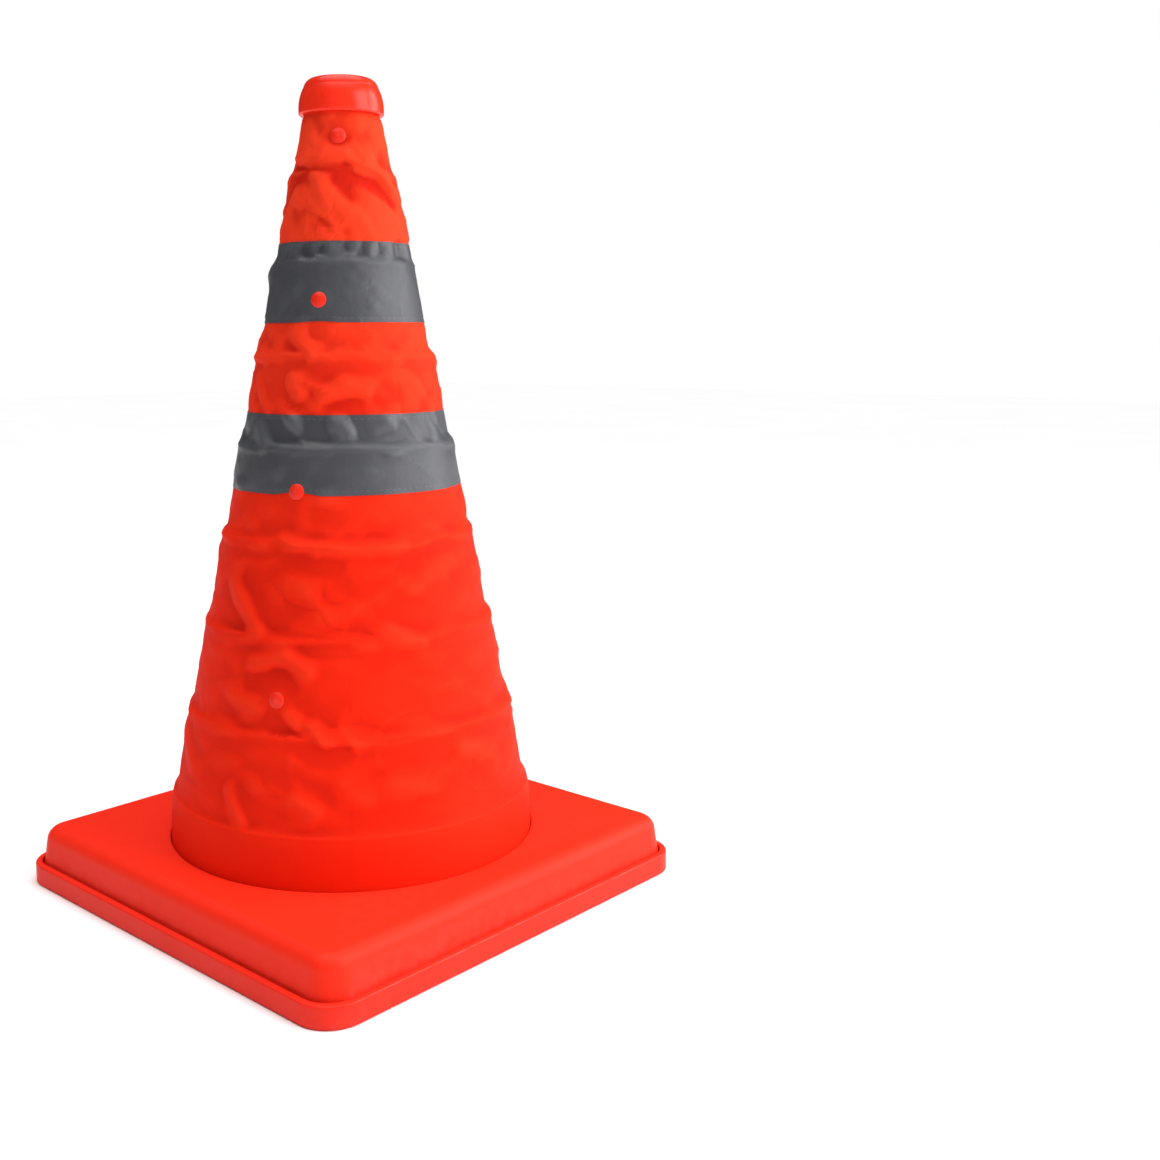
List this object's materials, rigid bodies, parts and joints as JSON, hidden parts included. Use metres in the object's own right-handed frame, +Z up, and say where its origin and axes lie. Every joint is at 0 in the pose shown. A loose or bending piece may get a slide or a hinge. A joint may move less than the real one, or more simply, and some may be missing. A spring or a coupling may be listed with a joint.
{
  "type": "collapsible traffic cone",
  "caption": "Collapsible traffic cone: fabric sleeve with grey reflective bands over nested tapered rings, square base, rounded cap with a socket hole.",
  "frame": {"origin": "centre of the underside of the base tray", "axes": "+Z up along the cone's axis, X and Y along the sides of the square base"},
  "size_m": [0.27, 0.27, 0.45],
  "materials": {
    "tray_plastic": "satin moulded plastic",
    "base_plastic": "fine-grained matte plastic",
    "screw_steel": "zinc plated",
    "ring_plastic": "smooth plastic",
    "cap_plastic": "glossy moulded plastic",
    "sleeve_fabric": "coated woven polyester",
    "band_fabric": "grey reflective cloth",
    "rivet_plastic": "satin moulded plastic"
  },
  "bodies": {
    "base": {"base_tray": "tray_plastic", "base_shell": "base_plastic", "tray_screws": "screw_steel", "collar": "ring_plastic", "sleeve_hem": "sleeve_fabric"},
    "stage_1": {"ring_1": "ring_plastic", "sleeve_1": "sleeve_fabric"},
    "stage_2": {"ring_2": "ring_plastic", "sleeve_2": "sleeve_fabric", "rivets_2": "rivet_plastic"},
    "stage_3": {"ring_3": "ring_plastic", "sleeve_3": "sleeve_fabric"},
    "stage_4": {"ring_4": "ring_plastic", "sleeve_4": "sleeve_fabric", "rivets_4": "rivet_plastic", "band_low_4": "band_fabric"},
    "stage_5": {"ring_5": "ring_plastic", "sleeve_5": "sleeve_fabric", "band_low_5": "band_fabric"},
    "stage_6": {"ring_6": "ring_plastic", "sleeve_6": "sleeve_fabric", "rivets_6": "rivet_plastic", "band_high_6": "band_fabric"},
    "stage_7": {"ring_7": "ring_plastic", "sleeve_7": "sleeve_fabric", "band_high_7": "band_fabric"},
    "stage_8": {"ring_8": "ring_plastic", "sleeve_8": "sleeve_fabric", "rivets_8": "rivet_plastic", "cap": "cap_plastic"}
  },
  "joints": [
    {"name": "stage_1_slide", "type": "slide", "parent": "base", "child": "stage_1", "axis": [0, 0, -1], "range_m": [0, 0.0487], "deforming": ["sleeve_1"]},
    {"name": "stage_2_slide", "type": "slide", "parent": "stage_1", "child": "stage_2", "axis": [0, 0, -1], "range_m": [0, 0.0487], "deforming": ["sleeve_2"]},
    {"name": "stage_3_slide", "type": "slide", "parent": "stage_2", "child": "stage_3", "axis": [0, 0, -1], "range_m": [0, 0.0487], "deforming": ["sleeve_3"]},
    {"name": "stage_4_slide", "type": "slide", "parent": "stage_3", "child": "stage_4", "axis": [0, 0, -1], "range_m": [0, 0.0487], "deforming": ["sleeve_4", "band_low_4"]},
    {"name": "stage_5_slide", "type": "slide", "parent": "stage_4", "child": "stage_5", "axis": [0, 0, -1], "range_m": [0, 0.0487], "deforming": ["sleeve_5", "band_low_5"]},
    {"name": "stage_6_slide", "type": "slide", "parent": "stage_5", "child": "stage_6", "axis": [0, 0, -1], "range_m": [0, 0.0487], "deforming": ["sleeve_6", "band_high_6"]},
    {"name": "stage_7_slide", "type": "slide", "parent": "stage_6", "child": "stage_7", "axis": [0, 0, -1], "range_m": [0, 0.0487], "deforming": ["sleeve_7", "band_high_7"]},
    {"name": "stage_8_slide", "type": "slide", "parent": "stage_7", "child": "stage_8", "axis": [0, 0, -1], "range_m": [0, 0.0487], "deforming": ["sleeve_8"]}
  ]
}
